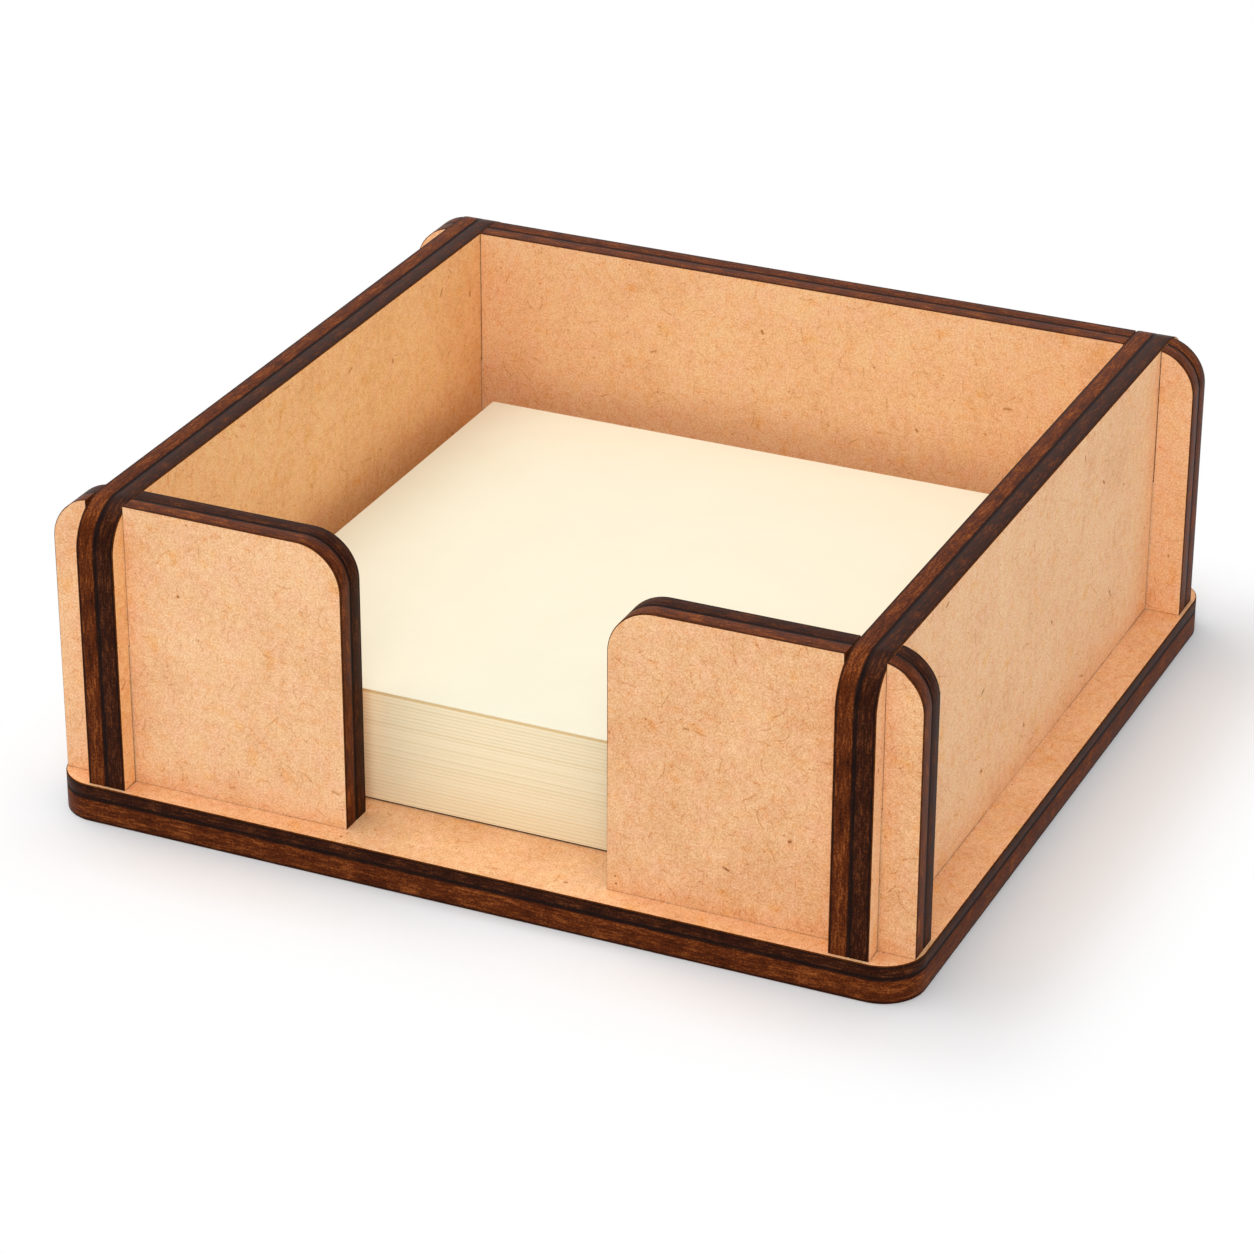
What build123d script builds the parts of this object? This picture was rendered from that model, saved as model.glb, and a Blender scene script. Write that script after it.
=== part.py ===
from build123d import *
import os

# Memo holder: a desk tray of interlocking boards around a stack of loose memo sheets.
# Millimetres, +Z up, the front towards -Y. The origin is the middle of the underside.

# Paper
sheet_side = 100.0
sheet_thickness = 0.1
stack_height = 18.0          # all the sheets, the top one included
side_room = 5.25             # air between the paper and each side panel
front_room = 3.5             # air between the paper and the front panels
back_room = 6.5              # air between the paper and the back panel

# Boards
board = 6.0                  # thickness of every board
wall_height = 44.4           # every panel, above the base
wall_ear = 5.6               # how far the front and back panels reach past the sides
side_front_ear = 3.3         # how far the side panels reach past the front panels
side_back_ear = 5.6          # how far the side panels reach past the back panel
base_rim = 0.7               # how far the base stands out past the panels all round
finger_gap = 41.0            # between the two front panels
wall_corner_radius = 7.0
base_corner_radius = 6.5

# Joinery
slot_play = 0.1              # how much wider a slot is than what stands in it
long_tab = 20.0              # tabs of the side and back panels
short_tab = 16.0             # tabs of the front panels
tab_spacing = 56.0           # between the two tabs of one panel
tab_relief = 0.2             # how far the tabs end above the table

# Places that follow from the sizes
inner_width = sheet_side + 2 * side_room
inner_depth = sheet_side + front_room + back_room
side_middle = inner_width / 2 + board / 2
wall_end = side_middle + board / 2 + wall_ear
base_width = 2 * (wall_end + base_rim)
base_depth = side_front_ear + inner_depth + 2 * board + side_back_ear + 2 * base_rim
side_start = base_rim - base_depth / 2
side_end = base_depth / 2 - base_rim
front_middle = side_start + side_front_ear + board / 2
back_middle = side_end - side_back_ear - board / 2
tray_middle = (front_middle + back_middle) / 2
wall_top = board + wall_height
lap_level = board + wall_height / 2
front_tab_middle = (inner_width / 2 + finger_gap / 2) / 2
paper_middle = front_middle + board / 2 + front_room + sheet_side / 2


def standing_outline(start, end):
    """Draw a board that stands on the base, with its two upper corners rounded."""
    middle = (start + end) / 2
    with Locations((middle, (board + wall_top) / 2)):
        RectangleRounded(end - start, wall_height, wall_corner_radius)
    with Locations((middle, board)):
        Rectangle(end - start, wall_height - wall_corner_radius, align=(Align.CENTER, Align.MIN))


def standing_tab(length):
    """Draw a tab below the board, from the base's top to just above the table."""
    Rectangle(length, board - tab_relief, align=(Align.CENTER, Align.MAX))


def lap_slot(low, high):
    """Cut the slot that takes the crossing board, between two heights."""
    with Locations((0, (low + high) / 2)):
        Rectangle(board + slot_play, high - low, mode=Mode.SUBTRACT)


def finish(piece, name):
    """Name a finished piece and write it."""
    piece.part.label = name
    export_step(piece.part, f"parts/{name}.step")


os.makedirs("parts", exist_ok=True)

# Base: a rounded plate with a through slot under every tab
with BuildPart() as base_plate:
    with BuildSketch():
        RectangleRounded(base_width, base_depth, base_corner_radius)
        with Locations((0, tray_middle)):
            with GridLocations(2 * side_middle, tab_spacing, 2, 2):
                Rectangle(board + slot_play, long_tab + slot_play, mode=Mode.SUBTRACT)
        with Locations((0, back_middle)):
            with GridLocations(tab_spacing, 0, 2, 1):
                Rectangle(long_tab + slot_play, board + slot_play, mode=Mode.SUBTRACT)
        with Locations((0, front_middle)):
            with GridLocations(2 * front_tab_middle, 0, 2, 1):
                Rectangle(short_tab + slot_play, board + slot_play, mode=Mode.SUBTRACT)
    extrude(amount=board)
finish(base_plate, "base_plate")

# Side panels: slotted from below, so that their upper edges run on over the crossings
for name, side in (("left_side_panel", -1), ("right_side_panel", 1)):
    with BuildPart() as side_panel:
        with BuildSketch(Plane.YZ.offset(side * side_middle - board / 2)):
            standing_outline(side_start, side_end)
            with Locations((tray_middle - tab_spacing / 2, board), (tray_middle + tab_spacing / 2, board)):
                standing_tab(long_tab)
            with Locations((front_middle, 0), (back_middle, 0)):
                lap_slot(board, lap_level)
        extrude(amount=board)
    finish(side_panel, name)

# Back panel: slotted from above, the side panels drop over it
with BuildPart() as back_panel:
    with BuildSketch(Plane.XZ.offset(-back_middle - board / 2)):
        standing_outline(-wall_end, wall_end)
        with Locations((-tab_spacing / 2, board), (tab_spacing / 2, board)):
            standing_tab(long_tab)
        with Locations((-side_middle, 0), (side_middle, 0)):
            lap_slot(lap_level, wall_top)
    extrude(amount=board)
finish(back_panel, "back_panel")

# Front panels: the same wall in two halves, with the finger gap between them
for name, side in (("front_left_panel", -1), ("front_right_panel", 1)):
    with BuildPart() as front_panel:
        with BuildSketch(Plane.XZ.offset(-front_middle - board / 2)):
            standing_outline(*sorted((side * finger_gap / 2, side * wall_end)))
            with Locations((side * front_tab_middle, board)):
                standing_tab(short_tab)
            with Locations((side * side_middle, 0)):
                lap_slot(lap_level, wall_top)
        extrude(amount=board)
    finish(front_panel, name)

# Paper: the stack on the base, and its top sheet, which is the next one to be taken
with BuildPart() as memo_stack:
    with BuildSketch(Plane.XY.offset(board)):
        with Locations((0, paper_middle)):
            Rectangle(sheet_side, sheet_side)
    extrude(amount=stack_height - sheet_thickness)
finish(memo_stack, "memo_stack")

with BuildPart() as memo_top_sheet:
    with BuildSketch(Plane.XY.offset(board + stack_height - sheet_thickness)):
        with Locations((0, paper_middle)):
            Rectangle(sheet_side, sheet_side)
    extrude(amount=sheet_thickness)
finish(memo_top_sheet, "memo_top_sheet")
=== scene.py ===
import math

import bmesh
import bpy
from mathutils import Matrix, Vector


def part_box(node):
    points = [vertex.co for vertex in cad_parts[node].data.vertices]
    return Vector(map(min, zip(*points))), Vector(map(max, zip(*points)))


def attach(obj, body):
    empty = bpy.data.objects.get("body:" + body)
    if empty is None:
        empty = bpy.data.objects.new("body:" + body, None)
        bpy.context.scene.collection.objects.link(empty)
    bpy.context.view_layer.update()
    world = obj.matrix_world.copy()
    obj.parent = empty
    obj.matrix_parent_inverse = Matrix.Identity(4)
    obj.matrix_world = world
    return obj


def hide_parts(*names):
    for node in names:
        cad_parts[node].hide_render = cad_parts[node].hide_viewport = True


# Memo holder: slotted fibreboard panels with scorched cut edges around a stack of loose cream sheets.
# Everything is in metres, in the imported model's frame: +Z up, the front with the finger gap towards -Y.

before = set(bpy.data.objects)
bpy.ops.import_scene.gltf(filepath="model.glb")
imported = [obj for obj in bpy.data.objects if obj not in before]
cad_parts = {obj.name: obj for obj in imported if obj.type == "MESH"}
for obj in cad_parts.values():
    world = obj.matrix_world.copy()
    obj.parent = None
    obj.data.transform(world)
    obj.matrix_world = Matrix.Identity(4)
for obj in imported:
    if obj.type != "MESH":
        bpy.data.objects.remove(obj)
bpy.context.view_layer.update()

MM = 0.001

# Joinery of the boards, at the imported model's sizes
WALL_CORNER_RADIUS = 7.0 * MM
BASE_CORNER_RADIUS = 6.5 * MM
CORNER_STEPS = 16
SLOT_PLAY = 0.1 * MM
LONG_TAB = 20.0 * MM
SHORT_TAB = 16.0 * MM
TAB_SPACING = 56.0 * MM

# Cut edges: a worn arris along both faces and a fine groove between them, which lies higher on the base
ARRIS_RADIUS = 0.15 * MM
ARRIS_STEPS = 3
FREE_WEAR = 1.0
FOOT_WEAR = 0.4
SIDE_SLOT_WEAR = 1.5
BACK_SLOT_WEAR = 0.6
FRONT_SLOT_WEAR = 0.2
BASE_SLOT_WEAR = 0.2
GROOVE_WIDTH = 0.5 * MM
GROOVE_DEPTH = 0.12 * MM
BASE_GROOVE = 3.9 * MM
SHARP_ANGLE = math.radians(50)
BOARD_MAP = "board_map"
# Each board's shade value darkens or lightens the whole board: partly the board's own tone, partly painted
# shade and painted light for how light falls on it.
BOARD_SHADE = "board_shade"
PAINTED_WARMTH = "board_painted_warmth"
GROOVE_PLACE = "groove_place"
EDGE_CONTRAST = "edge_contrast"
FACE_SLOT, EDGE_SLOT, ARRIS_SLOT = 0, 1, 2

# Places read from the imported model
base_low, base_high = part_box("base_plate")
left_low, left_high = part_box("left_side_panel")
right_low, right_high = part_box("right_side_panel")
back_low, back_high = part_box("back_panel")
front_low, front_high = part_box("front_right_panel")
stack_low, stack_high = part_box("memo_stack")
sheet_low, sheet_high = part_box("memo_top_sheet")
board = base_high.z - base_low.z
tab_foot = back_low.z
wall_top = back_high.z
lap_level = (board + wall_top) / 2
side_middle = (right_low.x + right_high.x) / 2
front_middle = (front_low.y + front_high.y) / 2
back_middle = (back_low.y + back_high.y) / 2
tray_middle = (front_middle + back_middle) / 2
front_tab_middle = (right_low.x + front_low.x) / 2
slot_width = board + SLOT_PLAY


def rounded(corners):
    """Outline through corners (u, v, radius), with an arc in place of each corner that has a radius."""
    outline = []
    for index, (u, v, radius) in enumerate(corners):
        corner = Vector((u, v))
        if radius == 0:
            outline.append(corner)
            continue
        before = (Vector(corners[index - 1][:2]) - corner).normalized() * radius
        after = (Vector(corners[(index + 1) % len(corners)][:2]) - corner).normalized() * radius
        for step in range(CORNER_STEPS + 1):
            angle = math.pi / 2 * step / CORNER_STEPS
            outline.append(corner + before * (1 - math.sin(angle)) + after * (1 - math.cos(angle)))
    return outline


def rectangle(middle_u, middle_v, width, height, radius=0):
    """Anticlockwise outline of a rectangle."""
    left, right = middle_u - width / 2, middle_u + width / 2
    low, high = middle_v - height / 2, middle_v + height / 2
    corners = ((left, low), (right, low), (right, high), (left, high))
    return rounded([(u, v, radius) for u, v in corners])


def standing_outline(start, end, top, lower_steps):
    """Anticlockwise outline of a standing panel. A lower step (middle, width, level) is a tab or a slot."""
    corners = [(start, board, 0)]
    for middle, width, level in sorted(lower_steps):
        for u, v in ((-1, board), (-1, level), (1, level), (1, board)):
            corners.append((middle + u * width / 2, v, 0))
    corners += [(end, board, 0), (end, top, WALL_CORNER_RADIUS), (start, top, WALL_CORNER_RADIUS)]
    return rounded(corners)


def cut_from_above(outline, middle):
    """The outline with a half-lap slot, as deep as the lap level, in its upper edge."""
    left, right = middle - slot_width / 2, middle + slot_width / 2
    cut = []
    for here, after in zip(outline, outline[1:] + outline[:1]):
        if not (left < here.x < right and here.y > lap_level):
            cut.append(here)
        if after.x < right <= here.x:
            cut.append(here.lerp(after, (here.x - right) / (here.x - after.x)))
            cut += [Vector((right, lap_level)), Vector((left, lap_level))]
        if after.x < left <= here.x:
            cut.append(here.lerp(after, (here.x - left) / (here.x - after.x)))
    return cut


def cut_edge_profile(groove):
    """Places across a cut edge, each with its depth inside the outline, from one face to the other."""
    arris = []
    for step in range(ARRIS_STEPS + 1):
        angle = math.pi / 2 * step / ARRIS_STEPS
        arris.append((ARRIS_RADIUS * (1 - math.cos(angle)), ARRIS_RADIUS * (1 - math.sin(angle))))
    other_arris = [(board - across, depth) for across, depth in reversed(arris)]
    mark = [(groove - GROOVE_WIDTH / 2, 0), (groove, GROOVE_DEPTH), (groove + GROOVE_WIDTH / 2, 0)]
    return arris + mark + other_arris


def moved_inwards(loop, depths):
    """The loop moved into the board, each point by its depth. The board lies to the left of the loop."""
    moved = []
    for before, here, after, depth in zip(loop[-1:] + loop[:-1], loop, loop[1:] + loop[:1], depths):
        arriving = (here - before).normalized()
        leaving = (after - here).normalized()
        first = Vector((-arriving.y, arriving.x))
        second = Vector((-leaving.y, leaving.x))
        moved.append(here + (first + second) * depth / (1 + first.dot(second)))
    return moved


def paint_map(face, layer, places):
    """Write a place in millimetres to each corner of a face, on its board's map."""
    for corner in face.loops:
        u, v = places[corner.vert]
        corner[layer].uv = (u / MM, v / MM)


def band_faces(mesh, layer, loop, place, wear, groove):
    """The cut edge along one loop, from face to face. Gives its first and last rings with their places."""
    profile = cut_edge_profile(groove)
    shares = [wear(point) for point in loop]
    along = [0.0]
    for here, after in zip(loop, loop[1:] + loop[:1]):
        along.append(along[-1] + (after - here).length)
    rings = []
    for across, depth in profile:
        flat = moved_inwards(loop, [depth * share for share in shares])
        rings.append([(mesh.verts.new(place(p.x, p.y, across)), p) for p in flat])
    last_step = len(rings) - 2
    for step in range(len(rings) - 1):
        low, high = profile[step][0], profile[step + 1][0]
        on_arris = min(step, last_step - step) < ARRIS_STEPS
        for index in range(len(loop)):
            following = (index + 1) % len(loop)
            corners = [rings[step][index][0], rings[step][following][0],
                       rings[step + 1][following][0], rings[step + 1][index][0]]
            start, end = along[index], along[index + 1]
            places = [(start, low), (end, low), (end, high), (start, high)]
            face = mesh.faces.new(corners)
            face.material_index = ARRIS_SLOT if on_arris else EDGE_SLOT
            face.smooth = True
            paint_map(face, layer, dict(zip(corners, places)))
    return rings[0], rings[-1]


def flat_face(mesh, layer, rings, offset):
    """One flat face of a board, filled between its outline and its slots."""
    edges = []
    places = {}
    for ring in rings:
        verts = [vert for vert, _ in ring]
        places.update({vert: p + offset for vert, p in ring})
        edges += [mesh.edges.get(pair) for pair in zip(verts, verts[1:] + verts[:1])]
    filled = bmesh.ops.triangle_fill(mesh, use_beauty=True, edges=edges)
    for face in filled["geom"]:
        if isinstance(face, bmesh.types.BMFace):
            face.material_index = FACE_SLOT
            face.smooth = False
            paint_map(face, layer, places)


def make_board(name, loops, place, wear, pattern_place, shade, painted_warmth=0.0, groove=board / 2,
               edge_contrast=1.0):
    """A finished board. Its first loop is the anticlockwise outline, and the others are clockwise slots."""
    mesh = bmesh.new()
    layer = mesh.loops.layers.uv.new(BOARD_MAP)
    rims = [band_faces(mesh, layer, loop, place, wear, groove) for loop in loops]
    flat_face(mesh, layer, [first for first, _ in rims], Vector(pattern_place) * MM)
    flat_face(mesh, layer, [last for _, last in rims], -Vector(pattern_place) * MM)
    turn_out_and_sharpen(mesh)
    made = finished_object(name, mesh, [fibreboard, scorched_edge, toasted_arris])
    give_value(made, BOARD_SHADE, shade)
    give_value(made, PAINTED_WARMTH, painted_warmth)
    give_value(made, GROOVE_PLACE, groove / MM)
    give_value(made, EDGE_CONTRAST, edge_contrast)
    return made


def turn_out_and_sharpen(mesh):
    """Turn all faces outwards, and shade an edge sharply where the surface turns by SHARP_ANGLE or more."""
    bmesh.ops.recalc_face_normals(mesh, faces=mesh.faces)
    for edge in mesh.edges:
        edge.smooth = edge.calc_face_angle(0) < SHARP_ANGLE


def finished_object(name, mesh, materials):
    """Turn a finished bmesh into an object at the origin."""
    data = bpy.data.meshes.new(name)
    mesh.to_mesh(data)
    mesh.free()
    return placed_object(name, data, materials)


def placed_object(name, data, materials):
    """An object at the origin that holds a mesh and its materials."""
    for material in materials:
        data.materials.append(material)
    made = bpy.data.objects.new(name, data)
    bpy.context.scene.collection.objects.link(made)
    return made


def give_value(piece, name, value):
    """Write one value to all points of a piece, for its material to read."""
    layer = piece.data.attributes.new(name, "FLOAT", "POINT")
    layer.data.foreach_set("value", [value] * len(piece.data.vertices))


def plug(tree, socket, value):
    """Give a socket its value, or link it to the socket that feeds it."""
    if isinstance(value, bpy.types.NodeSocket):
        tree.links.new(value, socket)
    else:
        socket.default_value = value


def add(tree, kind, inputs=None, **settings):
    """Add a node, with its settings and its inputs. An input is a value or the socket that feeds it."""
    made = tree.nodes.new(kind)
    for key, value in settings.items():
        setattr(made, key, value)
    for key, value in (inputs or {}).items():
        plug(tree, made.inputs[key], value)
    return made


def compute(tree, operation, *values):
    """A math node's result."""
    return add(tree, "ShaderNodeMath", dict(enumerate(values)), operation=operation).outputs[0]


def vector_compute(tree, operation, *values):
    """A vector math node's result."""
    return add(tree, "ShaderNodeVectorMath", dict(enumerate(values)), operation=operation).outputs[0]


def scaled(tree, vector, share):
    """A vector times a number."""
    return add(tree, "ShaderNodeVectorMath", {0: vector, "Scale": share}, operation="SCALE").outputs[0]


def combine(tree, **parts):
    """A vector from its X, Y and Z parts."""
    return add(tree, "ShaderNodeCombineXYZ", parts).outputs[0]


def separate(tree, vector):
    """The X, Y and Z parts of a vector."""
    return add(tree, "ShaderNodeSeparateXYZ", {"Vector": vector}).outputs


def ease(tree, value, start, end, low=0.0, high=1.0):
    """A smooth step from low to high as value goes from start to end."""
    inputs = {"Value": value, "From Min": start, "From Max": end, "To Min": low, "To Max": high}
    return add(tree, "ShaderNodeMapRange", inputs, interpolation_type="SMOOTHSTEP").outputs[0]


def noise(tree, place, size, detail=2.0, roughness=0.5, dimensions="2D"):
    """Noise whose patches are about size across, in the units of place."""
    inputs = {"Vector": place, "Scale": 1 / size, "Detail": detail, "Roughness": roughness}
    return add(tree, "ShaderNodeTexNoise", inputs, noise_dimensions=dimensions).outputs[0]


def ramp(tree, value, *stops):
    """A colour ramp. Each stop is a position and a colour."""
    made = add(tree, "ShaderNodeValToRGB", {"Fac": value})
    points = made.color_ramp.elements
    while len(points) < len(stops):
        points.new(0.5)
    for point, (position, colour) in zip(points, stops):
        point.position = position
        point.color = (*colour, 1)
    return made.outputs[0]


# Places of the colour sockets on a mix node, whose names are the same for every kind of value
MIX_FACTOR, MIX_FIRST, MIX_SECOND = 0, 6, 7
MIX_RESULT = 2


def tint(tree, factor, first, second, blend="MIX"):
    """A mix of two colours."""
    made = add(tree, "ShaderNodeMix", data_type="RGBA", blend_type=blend)
    for socket, value in ((MIX_FACTOR, factor), (MIX_FIRST, first), (MIX_SECOND, second)):
        plug(tree, made.inputs[socket], (*value, 1) if isinstance(value, tuple) else value)
    return made.outputs[MIX_RESULT]


def new_material(name):
    """An empty material with its tree and shader."""
    material = bpy.data.materials.new(name)
    material.use_nodes = True
    return material, material.node_tree, material.node_tree.nodes["Principled BSDF"]


def feed(tree, shader, **inputs):
    """Link or set the shader's inputs. An underscore in a name stands for a space."""
    for key, value in inputs.items():
        plug(tree, shader.inputs[key.replace("_", " ")], value)


def bump(tree, height, distance, strength):
    """A bumped normal, with the height's distance in metres."""
    inputs = {"Height": height, "Distance": distance, "Strength": strength}
    return add(tree, "ShaderNodeBump", inputs).outputs[0]


# Fibre strokes, as shares: the shortest one's length, where the taper starts, and how many show fully
SHORTEST_STROKE = 0.25
STROKE_TAPER = 0.5
FULL_STROKES = 0.3


def fibre_strokes_group():
    """Node group: short bent strokes in random directions, one to a cell, in millimetres."""
    group = bpy.data.node_groups.new("fibre strokes", "ShaderNodeTree")
    group.interface.new_socket("Place", in_out="INPUT", socket_type="NodeSocketVector")
    for name in ("Cell", "Length", "Width", "Bend", "Share", "Shift"):
        group.interface.new_socket(name, in_out="INPUT", socket_type="NodeSocketFloat")
    group.interface.new_socket("Stroke", in_out="OUTPUT", socket_type="NodeSocketFloat")
    given = group.nodes.new("NodeGroupInput").outputs
    shifted = vector_compute(group, "ADD", given["Place"], given["Shift"])
    grid = vector_compute(group, "DIVIDE", shifted, given["Cell"])
    cells = add(group, "ShaderNodeTexVoronoi", {"Vector": grid, "Scale": 1.0, "Randomness": 1.0},
                voronoi_dimensions="2D", feature="F1")
    chance = add(group, "ShaderNodeSeparateColor", {"Color": cells.outputs["Color"]}).outputs
    from_middle = vector_compute(group, "SUBTRACT", grid, cells.outputs["Position"])
    in_mm = vector_compute(group, "MULTIPLY", from_middle, given["Cell"])
    turn = compute(group, "MULTIPLY", chance["Red"], 2 * math.pi)
    turned = add(group, "ShaderNodeVectorRotate", {"Vector": in_mm, "Angle": turn}, rotation_type="Z_AXIS")
    way = separate(group, turned.outputs[0])
    arch = compute(group, "MULTIPLY", compute(group, "MULTIPLY", way["X"], way["X"]), given["Bend"])
    signed_arch = compute(group, "MULTIPLY", arch, compute(group, "SUBTRACT", chance["Green"], 0.5))
    aside = compute(group, "ABSOLUTE", compute(group, "ADD", way["Y"], signed_arch))
    ahead = compute(group, "ABSOLUTE", way["X"])
    length_share = compute(group, "ADD", chance["Green"], SHORTEST_STROKE)
    half_length = compute(group, "MULTIPLY", given["Length"], length_share)
    thin = ease(group, aside, given["Width"], 0.0)
    short = ease(group, ahead, half_length, compute(group, "MULTIPLY", half_length, STROKE_TAPER))
    full_share = compute(group, "MULTIPLY", given["Share"], FULL_STROKES)
    strength = ease(group, chance["Blue"], given["Share"], full_share)
    stroke = compute(group, "MULTIPLY", compute(group, "MULTIPLY", thin, short), strength)
    result = group.nodes.new("NodeGroupOutput")
    group.links.new(stroke, result.inputs["Stroke"])
    return group


def strokes(tree, group, place, cell, length, width, bend, share, shift):
    """One layer of fibre strokes."""
    values = {"Place": place, "Cell": cell, "Length": length, "Width": width, "Bend": bend,
              "Share": share, "Shift": shift}
    return add(tree, "ShaderNodeGroup", values, node_tree=group).outputs["Stroke"]


def board_place(tree):
    """Place on the board's map, in millimetres."""
    return add(tree, "ShaderNodeUVMap", uv_map=BOARD_MAP).outputs[0]


def read_value(tree, name):
    """A value that was written to the piece's points."""
    return add(tree, "ShaderNodeAttribute", attribute_name=name).outputs["Fac"]


def weighted_sum(tree, start, *parts):
    """start plus each part times its weight."""
    total = start
    for part, weight in parts:
        total = compute(tree, "MULTIPLY_ADD", part, weight, total)
    return total


# Colours of the finishes, in linear light
PALE_TAN = (0.96, 0.69, 0.394)
HONEY_TAN = (0.895, 0.526, 0.264)
BROWN_TAN = (0.7, 0.33, 0.124)
FLECK_BROWN = (0.33, 0.11, 0.02)
ROSY_TINT = (1.0, 0.965, 1.03)
GOLDEN_TINT = (1.0, 0.945, 0.83)
STAIN_TINT = (0.985, 0.9, 0.72)
# Golden tint for a board's painted warmth: painted warm bounce light.
PAINTED_BOUNCE_TINT = (1.035, 1.03, 0.89)
GRAIN_COLOUR = (0.075, 0.088, 0.066)
RED_CHAR = (0.009, 0.0018, 0.0008)
RED_SCORCH = (0.105, 0.021, 0.0035)
RED_TOAST = (0.38, 0.108, 0.024)
BLACK_CHAR = (0.004, 0.001, 0.0008)
BLACK_SCORCH = (0.036, 0.008, 0.0022)
BLACK_TOAST = (0.18, 0.052, 0.016)
BURNT_LINE = (0.005, 0.003, 0.003)
DARK_ARRIS = (0.06, 0.013, 0.0015)
LIGHT_ARRIS = (0.14, 0.036, 0.005)
CREAM = (0.82, 0.788, 0.617)
LIGHT_CREAM = (0.83, 0.803, 0.637)
# Sheet edges: a little yellower than the faces, and painted lighter than them, as painted light on the
# stack's shaded front.
EDGE_CREAM = (1.0, 0.89, 0.63)
EDGE_STRAW = (1.0, 0.865, 0.585)
EDGE_LINE = (0.89, 0.73, 0.445)
COVER_PAINTED_SHADE = (0.85, 0.62, 0.3)
FOOT_PAINTED_SHADE = (0.05, 0.02, 0.006)

# Marks on the cut edges, in millimetres: how softly the halves meet, and the reach of the burnt lines
HALVES_BLEND = 0.3
GROOVE_LINE_REACH = 0.5
GROOVE_LINE_CORE = 0.2
BORDER_LINE_REACH = 0.6
BORDER_LINE_CORE = 0.2
BURNT_SHARE = 0.85
STREAK_STRETCH = (0.15, 1.0, 1.0)

# Tones: of a board's plain face, and of the sheets' edges from a plain one to the darkest line and the cover
# sheets' painted shade
BOARD_TONE = 0.24
SHEET_TONE = "sheet_tone"
PLAIN_TONE = 0.4
LINE_TONE = 0.8
COVER_SHADE_TONE = 0.88


def fibreboard_material():
    """Raw fibreboard: honey tan, mottled, with short curled fibres and a few dark flecks."""
    material, tree, shader = new_material("raw_fibreboard")
    group = fibre_strokes_group()
    place = board_place(tree)
    blotch = noise(tree, place, size=16.0)
    cloud = noise(tree, place, size=6.0)
    mottle = noise(tree, place, size=1.3, detail=1.5, roughness=0.65)
    grain = noise(tree, place, size=0.28, detail=1.0, roughness=0.6)
    blush = noise(tree, place, size=3.4)
    warm = noise(tree, place, size=1.7, detail=1.0)
    fine = strokes(tree, group, place, cell=0.7, length=0.4, width=0.16, bend=1.6, share=1.0, shift=3.1)
    dark = strokes(tree, group, place, cell=1.6, length=0.9, width=0.18, bend=1.1, share=0.9, shift=17.3)
    long = strokes(tree, group, place, cell=4.2, length=1.8, width=0.22, bend=0.5, share=0.7, shift=41.9)
    pale = strokes(tree, group, place, cell=1.1, length=0.7, width=0.18, bend=1.2, share=1.0, shift=71.7)
    fleck = strokes(tree, group, place, cell=11.0, length=0.9, width=0.36, bend=0.2, share=0.5, shift=103.1)
    speck = strokes(tree, group, place, cell=4.5, length=0.2, width=0.24, bend=0.0, share=0.5, shift=151.9)
    stain = strokes(tree, group, place, cell=7.5, length=1.8, width=1.3, bend=0.4, share=0.6, shift=211.3)
    # The board's shade value: partly its own tone, partly painted shade and painted light.
    board_tone = compute(tree, "ADD", read_value(tree, BOARD_SHADE), BOARD_TONE)
    tone = weighted_sum(tree, board_tone, (blotch, 0.16), (cloud, 0.14), (mottle, 0.2), (long, 0.17),
                        (fleck, 0.45), (speck, 0.34))
    plain = ramp(tree, tone, (0.2, PALE_TAN), (0.47, HONEY_TAN), (0.7, BROWN_TAN), (1.0, FLECK_BROWN))
    rosy = tint(tree, ease(tree, blush, 0.35, 0.7), plain, ROSY_TINT, "MULTIPLY")
    golden = tint(tree, ease(tree, warm, 0.5, 0.75), rosy, GOLDEN_TINT, "MULTIPLY")
    stained = tint(tree, stain, golden, STAIN_TINT, "MULTIPLY")
    # Painted warmth: a golden tint that paints warm bounce light onto the board.
    painted_warm_colour = tint(tree, read_value(tree, PAINTED_WARMTH), stained, PAINTED_BOUNCE_TINT, "MULTIPLY")
    light_grain = ease(tree, grain, 0.25, 0.75, 1.0, -1.0)
    lightness = weighted_sum(tree, light_grain, (fine, -0.75), (dark, -1.2), (pale, 0.5))
    colour = vector_compute(tree, "MULTIPLY_ADD", lightness, GRAIN_COLOUR, painted_warm_colour)
    height = weighted_sum(tree, 0.0, (mottle, 0.5), (grain, 0.12), (dark, -0.3), (pale, 0.2))
    feed(tree, shader, Base_Color=colour, Roughness=ease(tree, mottle, 0.2, 0.8, 0.66, 0.8),
         Specular_IOR_Level=0.65, Normal=bump(tree, height, distance=0.05 * MM, strength=0.35))
    return material


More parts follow.
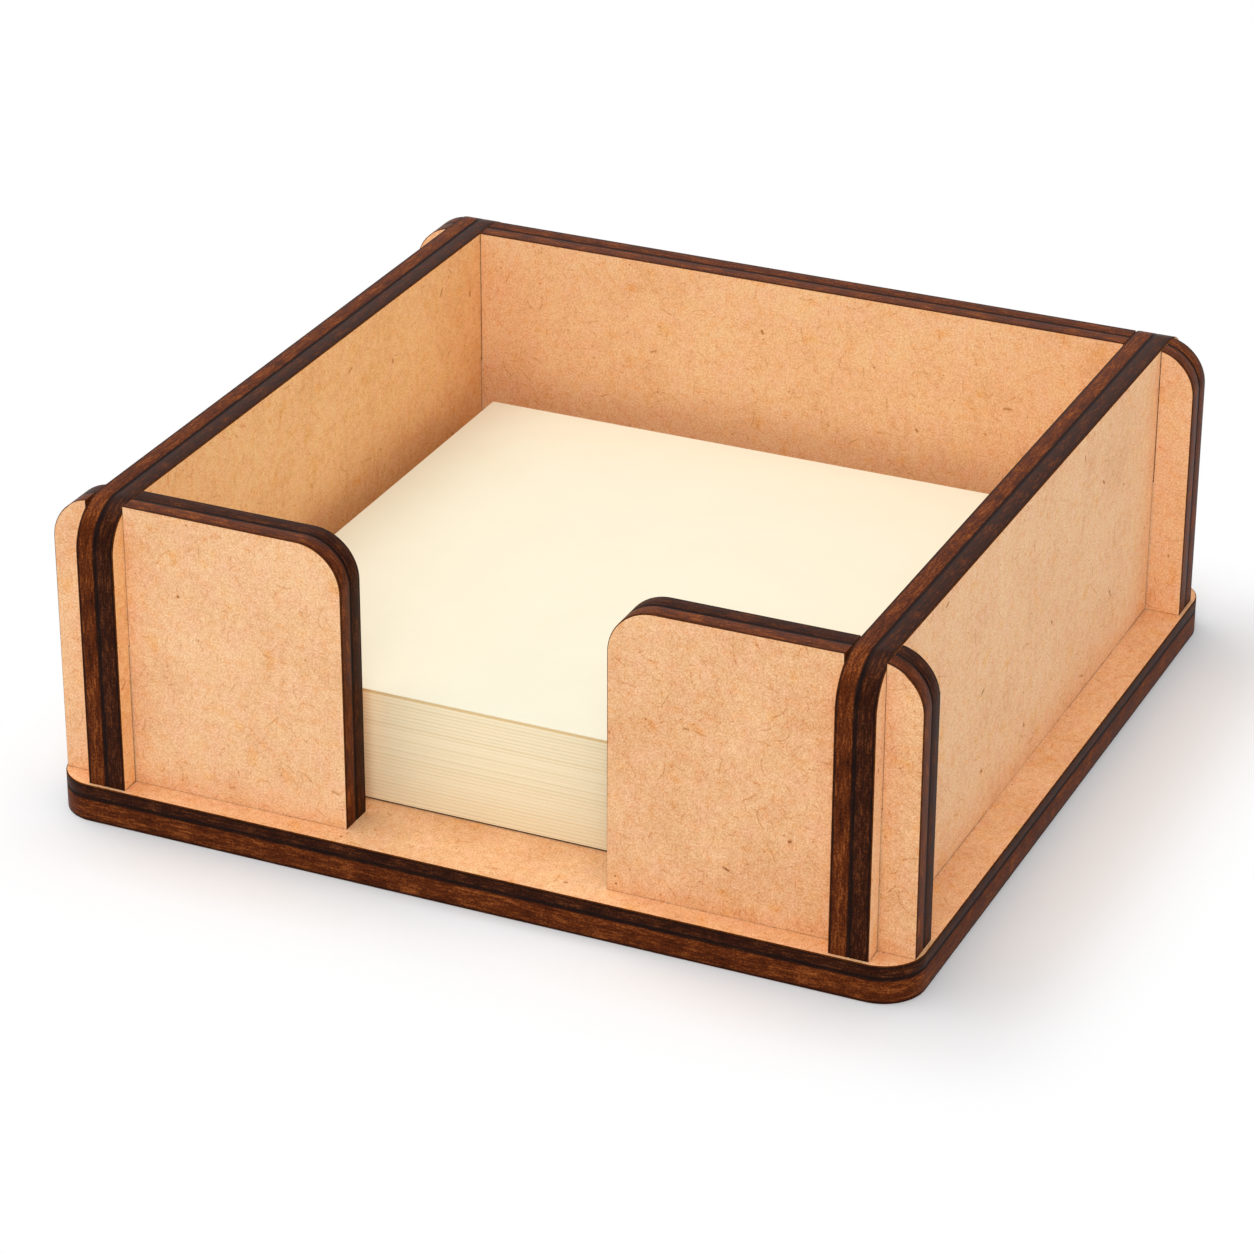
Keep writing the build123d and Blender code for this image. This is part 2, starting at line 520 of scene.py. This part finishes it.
def scorched_edge_material():
    """Cut edge: a reddish brown half and a dark grey half, streaked along the cut, with burnt lines."""
    material, tree, shader = new_material("scorched_edge")
    place = board_place(tree)
    way = separate(tree, place)
    drawn_out = vector_compute(tree, "MULTIPLY", place, STREAK_STRETCH)
    streak = noise(tree, drawn_out, size=0.3, detail=3.0, roughness=0.7)
    char = noise(tree, drawn_out, size=0.9)
    patch = noise(tree, place, size=5.0, detail=3.0, roughness=0.6)
    soot = noise(tree, place, size=0.35, detail=3.0, roughness=0.75)
    tone = weighted_sum(tree, -0.62, (streak, 0.75), (char, 0.4), (patch, 0.4), (soot, 0.65))
    red_half = ramp(tree, tone, (0.1, RED_CHAR), (0.5, RED_SCORCH), (0.9, RED_TOAST))
    dark_half = ramp(tree, tone, (0.1, BLACK_CHAR), (0.5, BLACK_SCORCH), (0.9, BLACK_TOAST))
    middle = board / MM / 2
    from_middle = compute(tree, "ABSOLUTE", compute(tree, "SUBTRACT", way["Y"], middle))
    past_groove = compute(tree, "SUBTRACT", way["Y"], read_value(tree, GROOVE_PLACE))
    dark_side = ease(tree, past_groove, -HALVES_BLEND, HALVES_BLEND)
    dark_share = compute(tree, "MULTIPLY", dark_side, read_value(tree, EDGE_CONTRAST))
    halves = tint(tree, dark_share, red_half, dark_half)
    from_groove = compute(tree, "ABSOLUTE", past_groove)
    groove_line = ease(tree, from_groove, GROOVE_LINE_REACH, GROOVE_LINE_CORE)
    border_line = ease(tree, from_middle, middle - BORDER_LINE_REACH, middle - BORDER_LINE_CORE)
    burnt = compute(tree, "MAXIMUM", groove_line, border_line)
    lined = tint(tree, compute(tree, "MULTIPLY", burnt, BURNT_SHARE), halves, BURNT_LINE)
    height = weighted_sum(tree, 0.0, (streak, 1.0), (soot, 0.5))
    feed(tree, shader, Base_Color=lined, Roughness=ease(tree, tone, 0.2, 0.8, 0.38, 0.55), IOR=1.125,
         Normal=bump(tree, height, distance=0.05 * MM, strength=0.4))
    return material


def toasted_arris_material():
    """Worn arris between a face and its cut edge: matt, reddish brown, darker in patches."""
    material, tree, shader = new_material("toasted_arris")
    place = board_place(tree)
    patch = noise(tree, place, size=1.2, detail=3.0, roughness=0.6)
    colour = ramp(tree, patch, (0.3, DARK_ARRIS), (0.7, LIGHT_ARRIS))
    feed(tree, shader, Base_Color=colour, Roughness=0.8, Specular_IOR_Level=0.0)
    return material


def paper_material():
    """Smooth cream paper with a faint cloudiness. The sheets' cut edges are a little yellower, and painted
    lighter than the faces as painted light; the cover and foot sheets' edges are painted darker as painted
    shade.
    """
    material, tree, shader = new_material("cream_paper")
    place = add(tree, "ShaderNodeTexCoord").outputs["Object"]
    cloud = noise(tree, place, size=9 * MM, detail=4.0, roughness=0.6, dimensions="3D")
    tooth = noise(tree, place, size=0.25 * MM, dimensions="3D")
    face = ramp(tree, cloud, (0.3, CREAM), (0.7, LIGHT_CREAM))
    facing = separate(tree, add(tree, "ShaderNodeNewGeometry").outputs["Normal"])
    edge_share = ease(tree, compute(tree, "ABSOLUTE", facing["Z"]), 0.7, 0.3)
    tone = read_value(tree, SHEET_TONE)
    edge = ramp(tree, tone, (0.15, EDGE_CREAM), (0.45, EDGE_STRAW), (LINE_TONE, EDGE_LINE),
                (COVER_SHADE_TONE, COVER_PAINTED_SHADE), (1.0, FOOT_PAINTED_SHADE))
    feed(tree, shader, Base_Color=tint(tree, edge_share, face, edge), Roughness=0.65,
         Normal=bump(tree, tooth, distance=0.01 * MM, strength=0.2))
    return material


fibreboard = fibreboard_material()
scorched_edge = scorched_edge_material()
toasted_arris = toasted_arris_material()
cream_paper = paper_material()


def on_floor(u, v, across):
    """Place on the base plate."""
    return Vector((u, v, base_low.z + across))


def on_side(low):
    """Placing on a side panel whose left face is at low."""
    return lambda u, v, across: Vector((low + across, u, v))


def on_wall(low):
    """Placing on a front or back panel whose front face is at low."""
    return lambda u, v, across: Vector((u, low + across, v))


def base_wear(point):
    """How far the arris is worn on the base: fully along its outline, hardly in its slots."""
    past_rim = max(abs(point.x) - base_high.x, abs(point.y) - base_high.y)
    return FREE_WEAR if past_rim > -BASE_CORNER_RADIUS / 2 else BASE_SLOT_WEAR


def panel_wear(slot_middles, slot_span, slot_wear):
    """How far the arris is worn on a standing panel: by slot_wear in its slots, and less at its foot."""
    def wear(point):
        in_slot = any(abs(point.x - middle) < board for middle in slot_middles)
        if in_slot and slot_span[0] <= point.y <= slot_span[1]:
            return slot_wear
        return FOOT_WEAR if point.y <= board else FREE_WEAR
    return wear


def base_board():
    """The base plate with the slots for the panels' tabs."""
    loops = [rectangle(0, 0, base_high.x - base_low.x, base_high.y - base_low.y, BASE_CORNER_RADIUS)]
    for side in (-1, 1):
        for end in (-1, 1):
            tab_place = tray_middle + end * TAB_SPACING / 2
            loops.append(rectangle(side * side_middle, tab_place, slot_width, LONG_TAB + SLOT_PLAY))
        loops.append(rectangle(side * TAB_SPACING / 2, back_middle, LONG_TAB + SLOT_PLAY, slot_width))
        loops.append(rectangle(side * front_tab_middle, front_middle, SHORT_TAB + SLOT_PLAY, slot_width))
    loops[1:] = [loop[::-1] for loop in loops[1:]]
    return make_board("base_board", loops, on_floor, base_wear, pattern_place=(310, 170), shade=0.05,
                      groove=BASE_GROOVE)


def side_board(name, low, high, pattern_place, shade, painted_warmth):
    """A side panel, slotted from below where it crosses the front and the back."""
    lower_steps = [(tray_middle + sign * TAB_SPACING / 2, LONG_TAB, tab_foot) for sign in (-1, 1)]
    lower_steps += [(middle, slot_width, lap_level) for middle in (front_middle, back_middle)]
    outline = standing_outline(low.y, high.y, high.z, lower_steps)
    wear = panel_wear((front_middle, back_middle), (board, lap_level), SIDE_SLOT_WEAR)
    return make_board(name, [outline], on_side(low.x), wear, pattern_place, shade, painted_warmth)


def back_board():
    """The back panel, slotted from above at both sides."""
    lower_steps = [(sign * TAB_SPACING / 2, LONG_TAB, tab_foot) for sign in (-1, 1)]
    outline = standing_outline(back_low.x, back_high.x, wall_top, lower_steps)
    outline = cut_from_above(cut_from_above(outline, side_middle), -side_middle)
    wear = panel_wear((-side_middle, side_middle), (lap_level, wall_top), BACK_SLOT_WEAR)
    return make_board("back_board", [outline], on_wall(back_low.y), wear, pattern_place=(520, 90),
                      shade=-0.02, edge_contrast=0.15)


def front_board(name, side, pattern_place, shade):
    """One of the two front panels, slotted from above at its side."""
    start, end = sorted((side * front_low.x, side * front_high.x))
    outline = standing_outline(start, end, wall_top, [(side * front_tab_middle, SHORT_TAB, tab_foot)])
    wear = panel_wear((side * side_middle,), (lap_level, wall_top), FRONT_SLOT_WEAR)
    outline = cut_from_above(outline, side * side_middle)
    return make_board(name, [outline], on_wall(front_low.y), wear, pattern_place, shade)


# The stack: loose sheets, each a little off its neighbour, with fine lines between uneven bundles
SHEET_THICKNESS = sheet_high.z - sheet_low.z
SHEET_COUNT = round((stack_high.z - stack_low.z) / SHEET_THICKNESS)
SHEET_DRIFT = 0.02 * MM
SHEET_SET_BACK = 0.1 * MM
SHEET_TURN = math.radians(0.01)
SHEET_BUNDLE = 5.7
SHEET_SEED = 11
# The lowest sheets sit a little further in, and their edges are painted near black: painted shade under the
# foot of the pile.
FOOT_SHEETS = 3
FOOT_SET_BACK = 0.3 * MM
# The top few sheets of the pile have a darker golden edge: painted shade in the gap under the top sheet.
COVER_SHEETS = 4
WANDER_SCALE = 0.15
WANDER_SHARE = 0.8
LINE_SWING = 0.75


def give_or_take(tree, reach, seed):
    """A random vector between reach and its opposite, the same at every run."""
    made = add(tree, "FunctionNodeRandomValue", data_type="FLOAT_VECTOR")
    for name, value in (("Min", scaled(tree, reach, -1.0)), ("Max", reach), ("Seed", seed)):
        plug(tree, next(socket for socket in made.inputs if socket.name == name and socket.enabled), value)
    return made.outputs[0]


def sheet_places(tree, given):
    """A line of points up the pile, one in the middle of each sheet."""
    step = combine(tree, Z=given["Thickness"])
    first = vector_compute(tree, "ADD", given["Foot"], scaled(tree, step, 0.5))
    line = {"Count": given["Sheets"], "Start Location": first, "Offset": step}
    return add(tree, "GeometryNodeMeshLine", line, mode="OFFSET").outputs[0]


def bundle_lines(tree, given, number):
    """The tone of each sheet's edge: a wave from bundle to bundle, which wanders along the pile."""
    along_pile = {"W": number, "Scale": WANDER_SCALE, "Detail": 2.0, "Roughness": 0.6}
    wander = add(tree, "ShaderNodeTexNoise", along_pile, noise_dimensions="1D").outputs[0]
    bundles = compute(tree, "DIVIDE", number, given["Bundle"])
    uneven = compute(tree, "MULTIPLY_ADD", wander, WANDER_SHARE, bundles)
    wave = compute(tree, "SINE", compute(tree, "MULTIPLY", uneven, 2 * math.pi))
    swing = compute(tree, "MULTIPLY", wave, wander)
    return compute(tree, "MINIMUM", compute(tree, "MULTIPLY_ADD", swing, LINE_SWING, PLAIN_TONE), LINE_TONE)


def sheet_stack_tree():
    """Geometry nodes: a pile of thin sheets with a small random drift, turn and set-back."""
    tree = bpy.data.node_groups.new("loose sheets", "GeometryNodeTree")
    for name, kind in (("Sheets", "Int"), ("Side", "Float"), ("Thickness", "Float"), ("Foot", "Vector"),
                       ("Drift", "Float"), ("Turn", "Float"), ("Bundle", "Float"), ("Set Back", "Float"),
                       ("Foot Sheets", "Int"), ("Foot Set Back", "Float"), ("Cover Sheets", "Int"),
                       ("Cover Shade Tone", "Float"), ("Seed", "Int"), ("Paper", "Material")):
        tree.interface.new_socket(name, in_out="INPUT", socket_type="NodeSocket" + kind)
    tree.interface.new_socket("Geometry", in_out="OUTPUT", socket_type="NodeSocketGeometry")
    given = tree.nodes.new("NodeGroupInput").outputs
    number = add(tree, "GeometryNodeInputIndex").outputs[0]
    lines = bundle_lines(tree, given, number)
    # The foot sheets' edges take the darkest tone: painted shade under the pile.
    in_foot = compute(tree, "LESS_THAN", number, given["Foot Sheets"])
    # The cover sheets' edges take a darker golden tone: painted shade under the top sheet.
    first_cover = compute(tree, "SUBTRACT", given["Sheets"], given["Cover Sheets"])
    in_cover = compute(tree, "SUBTRACT", 1.0, compute(tree, "LESS_THAN", number, first_cover))
    cover_shade_tone = compute(tree, "MULTIPLY", in_cover, given["Cover Shade Tone"])
    tone = compute(tree, "MAXIMUM", compute(tree, "MAXIMUM", lines, cover_shade_tone), in_foot)
    stored = {"Geometry": sheet_places(tree, given), "Name": SHEET_TONE, "Value": tone}
    toned = add(tree, "GeometryNodeStoreNamedAttribute", stored, data_type="FLOAT", domain="POINT").outputs[0]
    drift = give_or_take(tree, combine(tree, X=given["Drift"], Y=given["Drift"]), given["Seed"])
    drifted = add(tree, "GeometryNodeSetPosition", {"Geometry": toned, "Offset": drift}).outputs[0]
    turn = give_or_take(tree, combine(tree, Z=given["Turn"]), compute(tree, "ADD", given["Seed"], 1))
    sheet_size = combine(tree, X=given["Side"], Y=given["Side"], Z=given["Thickness"])
    sheet = add(tree, "GeometryNodeMeshCube", {"Size": sheet_size}).outputs[0]
    set_back = compute(tree, "MULTIPLY", given["Set Back"], ease(tree, lines, PLAIN_TONE, LINE_TONE))
    foot_back = compute(tree, "MULTIPLY_ADD", in_foot, given["Foot Set Back"], set_back)
    shrink = compute(tree, "SUBTRACT", 1.0, compute(tree, "DIVIDE", foot_back, given["Side"]))
    scale = combine(tree, X=shrink, Y=shrink, Z=1.0)
    copies = {"Points": drifted, "Instance": sheet, "Rotation": turn, "Scale": scale}
    placed = add(tree, "GeometryNodeInstanceOnPoints", copies).outputs[0]
    real = add(tree, "GeometryNodeRealizeInstances", {"Geometry": placed}).outputs[0]
    painted = add(tree, "GeometryNodeSetMaterial", {"Geometry": real, "Material": given["Paper"]}).outputs[0]
    result = tree.nodes.new("NodeGroupOutput")
    tree.links.new(painted, result.inputs["Geometry"])
    return tree


def memo_sheets():
    """The pile under the top sheet, made by geometry nodes and turned into a plain mesh."""
    middle = (stack_low + stack_high) / 2
    side = stack_high.x - stack_low.x - 2 * SHEET_DRIFT
    foot = (middle.x, middle.y, stack_low.z)
    values = {"Sheets": SHEET_COUNT, "Side": side, "Thickness": SHEET_THICKNESS, "Foot": foot,
              "Drift": SHEET_DRIFT, "Turn": SHEET_TURN, "Bundle": SHEET_BUNDLE, "Set Back": SHEET_SET_BACK,
              "Foot Sheets": FOOT_SHEETS, "Foot Set Back": FOOT_SET_BACK, "Cover Sheets": COVER_SHEETS,
              "Cover Shade Tone": COVER_SHADE_TONE, "Seed": SHEET_SEED, "Paper": cream_paper}
    pile = placed_object("pile", bpy.data.meshes.new("pile"), [])
    modifier = pile.modifiers.new("sheets", "NODES")
    modifier.node_group = sheet_stack_tree()
    for item in modifier.node_group.interface.items_tree:
        if item.in_out == "INPUT":
            modifier[item.identifier] = values[item.name]
    evaluated = pile.evaluated_get(bpy.context.evaluated_depsgraph_get())
    data = bpy.data.meshes.new_from_object(evaluated)
    bpy.data.objects.remove(pile)
    return placed_object("memo_sheets", data, [])


# The top sheet: a grid of cells with a low wave along its front edge that dies out towards the back
TOP_SHEET_CELLS = 24
TOP_SHEET_WAVE = 0.05 * MM
TOP_SHEET_TONE = 0.7
WAVE_ALONG = 5
WAVE_BACKWARDS = 2.2


def sheet_points(mesh, level):
    """The points of one face of the top sheet, row by row from its front edge."""
    points = []
    for row in range(TOP_SHEET_CELLS + 1):
        for column in range(TOP_SHEET_CELLS + 1):
            along, up = column / TOP_SHEET_CELLS, row / TOP_SHEET_CELLS
            swing = 0.5 + 0.5 * math.sin(WAVE_ALONG * along + WAVE_BACKWARDS * up)
            wave = TOP_SHEET_WAVE * swing * (1 - up) ** 2
            x = sheet_low.x + along * (sheet_high.x - sheet_low.x)
            y = sheet_low.y + up * (sheet_high.y - sheet_low.y)
            points.append(mesh.verts.new((x, y, level + wave)))
    return points


def rim_of_grid(wide):
    """Numbers of the points along the rim of a square grid that is wide points across."""
    last_row = wide * (wide - 1)
    rim = list(range(wide))
    rim += list(range(2 * wide - 1, last_row, wide))
    rim += list(range(last_row + wide - 1, last_row - 1, -1))
    rim += list(range(last_row - wide, 0, -wide))
    return rim


def top_sheet():
    """The sheet that is taken next. It lies almost flat, with its front edge lifted by a hair."""
    mesh = bmesh.new()
    under, upper = [sheet_points(mesh, level) for level in (sheet_low.z, sheet_high.z)]
    wide = TOP_SHEET_CELLS + 1
    for points in (under, upper):
        for row in range(TOP_SHEET_CELLS):
            for column in range(TOP_SHEET_CELLS):
                first = row * wide + column
                corners = (first, first + 1, first + wide + 1, first + wide)
                mesh.faces.new([points[corner] for corner in corners]).smooth = True
    rim = rim_of_grid(wide)
    for here, after in zip(rim, rim[1:] + rim[:1]):
        mesh.faces.new([under[here], under[after], upper[after], upper[here]])
    turn_out_and_sharpen(mesh)
    made = finished_object("top_sheet", mesh, [cream_paper])
    give_value(made, SHEET_TONE, TOP_SHEET_TONE)
    return made


def settle(piece, node, body):
    """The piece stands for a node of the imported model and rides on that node's body."""
    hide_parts(node)
    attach(piece, body)


# The shade values per board are partly the boards' own tones, partly painted shade and painted light.
settle(base_board(), "base_plate", "holder")
# The left board's painted warmth is painted warm bounce light on its inner face.
left_board = side_board("left_side_board", left_low, left_high, pattern_place=(40, 260), shade=0.0,
                        painted_warmth=1.0)
settle(left_board, "left_side_panel", "holder")
right_board = side_board("right_side_board", right_low, right_high, pattern_place=(730, 35), shade=-0.02,
                         painted_warmth=0.0)
settle(right_board, "right_side_panel", "holder")
settle(back_board(), "back_panel", "holder")
front_left_board = front_board("front_left_board", side=-1, pattern_place=(145, 410), shade=0.01)
settle(front_left_board, "front_left_panel", "holder")
front_right_board = front_board("front_right_board", side=1, pattern_place=(640, 330), shade=0.075)
settle(front_right_board, "front_right_panel", "holder")
settle(memo_sheets(), "memo_stack", "memo_stack")
settle(top_sheet(), "memo_top_sheet", "memo_top_sheet")

# Studio: a white floor, soft lights from the left, the front and above, and an even surround
FLOOR_SIZE = 6.0
FLOOR_COLOUR = (0.84, 0.852, 0.866, 1)
SHADOW_PLACE = (5 * MM, -2 * MM, 0)
SHADOW_START = 5 * MM
SHADOW_END = 27 * MM
SURROUND_LIGHT = 0.69
LEFT_PLACE = Vector((-0.6, 0.1, 1.2))
LEFT_SIZE = 0.8
LEFT_POWER = 3.1
FRONT_PLACE = Vector((0.3, -0.9, 0.75))
FRONT_SIZE = 0.5
FRONT_POWER = 3.0
TOP_PLACE = Vector((-0.32, 0.0, 1.4))
TOP_SIZE = 1.0
TOP_POWER = 5.6


def seen_directly(tree):
    """1 for what the camera sees, straight or in a gloss, and 0 for light that falls on the object."""
    path = add(tree, "ShaderNodeLightPath").outputs
    gloss = compute(tree, "MAXIMUM", path["Is Glossy Ray"], path["Is Transmission Ray"])
    return compute(tree, "MAXIMUM", path["Is Camera Ray"], gloss)


def studio_floor():
    """A large pale floor that keeps the holder's shadow near it and turns pure white further away, by painted
    white light.
    """
    material, tree, shader = new_material("studio_floor")
    feed(tree, shader, Base_Color=FLOOR_COLOUR, Roughness=0.9, Specular_IOR_Level=0.0)
    glow = add(tree, "ShaderNodeEmission", {"Color": (1, 1, 1, 1), "Strength": 1.0})
    # The camera sees painted white light on the floor, fading in from SHADOW_START to SHADOW_END past the
    # base's outline moved by SHADOW_PLACE; it cuts the real shadow off there and sets it more to the right
    # and the front.
    place = add(tree, "ShaderNodeTexCoord").outputs["Object"]
    moved = vector_compute(tree, "SUBTRACT", place, SHADOW_PLACE)
    folded = vector_compute(tree, "ABSOLUTE", moved)
    past = vector_compute(tree, "SUBTRACT", folded, (base_high.x, base_high.y, 0))
    outside = vector_compute(tree, "MAXIMUM", past, (0, 0, 0))
    distance = add(tree, "ShaderNodeVectorMath", {0: outside}, operation="LENGTH").outputs["Value"]
    clear = ease(tree, distance, SHADOW_START, SHADOW_END)
    share = compute(tree, "MULTIPLY", seen_directly(tree), clear)
    mixed = add(tree, "ShaderNodeMixShader", {0: share, 1: shader.outputs[0], 2: glow.outputs[0]})
    tree.links.new(mixed.outputs[0], tree.nodes["Material Output"].inputs["Surface"])
    mesh = bmesh.new()
    bmesh.ops.create_grid(mesh, x_segments=1, y_segments=1, size=FLOOR_SIZE / 2)
    finished_object("floor", mesh, [material])


def surround():
    """Even white light from all round, and a white background."""
    world = bpy.data.worlds.new("surround")
    world.use_nodes = True
    bpy.context.scene.world = world
    tree = world.node_tree
    light = tree.nodes["Background"]
    light.inputs["Color"].default_value = (1, 1, 1, 1)
    light.inputs["Strength"].default_value = SURROUND_LIGHT
    backdrop = add(tree, "ShaderNodeBackground", {"Color": (1, 1, 1, 1), "Strength": 1.0})
    shown = {0: seen_directly(tree), 1: light.outputs[0], 2: backdrop.outputs[0]}
    mixed = add(tree, "ShaderNodeMixShader", shown)
    tree.links.new(mixed.outputs[0], tree.nodes["World Output"].inputs["Surface"])


def soft_light(name, place, size, power):
    """A large square lamp that shines at the holder."""
    lamp = bpy.data.lights.new(name, "AREA")
    lamp.size = size
    lamp.energy = power
    made = bpy.data.objects.new(name, lamp)
    made.location = place
    made.rotation_euler = (-place).to_track_quat("-Z", "Y").to_euler()
    bpy.context.scene.collection.objects.link(made)


# Camera: fitted to the boards' edges in the photograph
CAMERA_PLACE = Vector((0.2438, -0.552, 0.3169))
CAMERA_TARGET = Vector((0.0008, -0.01165, 0.02))
CAMERA_ROLL = 0.0034
FOCAL_PIXELS = 4424
IMAGE_PIXELS = 1254


def camera():
    """A camera at the photograph's viewing angle."""
    lens = bpy.data.cameras.new("camera")
    lens.lens = lens.sensor_width * FOCAL_PIXELS / IMAGE_PIXELS
    made = bpy.data.objects.new("camera", lens)
    bpy.context.scene.collection.objects.link(made)
    aim = (CAMERA_TARGET - CAMERA_PLACE).to_track_quat("-Z", "Y").to_matrix()
    turned = aim @ Matrix.Rotation(CAMERA_ROLL, 3, "Z")
    made.matrix_world = Matrix.Translation(CAMERA_PLACE) @ turned.to_4x4()
    bpy.context.scene.camera = made


studio_floor()
surround()
soft_light("left", LEFT_PLACE, LEFT_SIZE, LEFT_POWER)
soft_light("front", FRONT_PLACE, FRONT_SIZE, FRONT_POWER)
soft_light("overhead", TOP_PLACE, TOP_SIZE, TOP_POWER)
camera()
bpy.context.scene.view_settings.view_transform = "Standard"
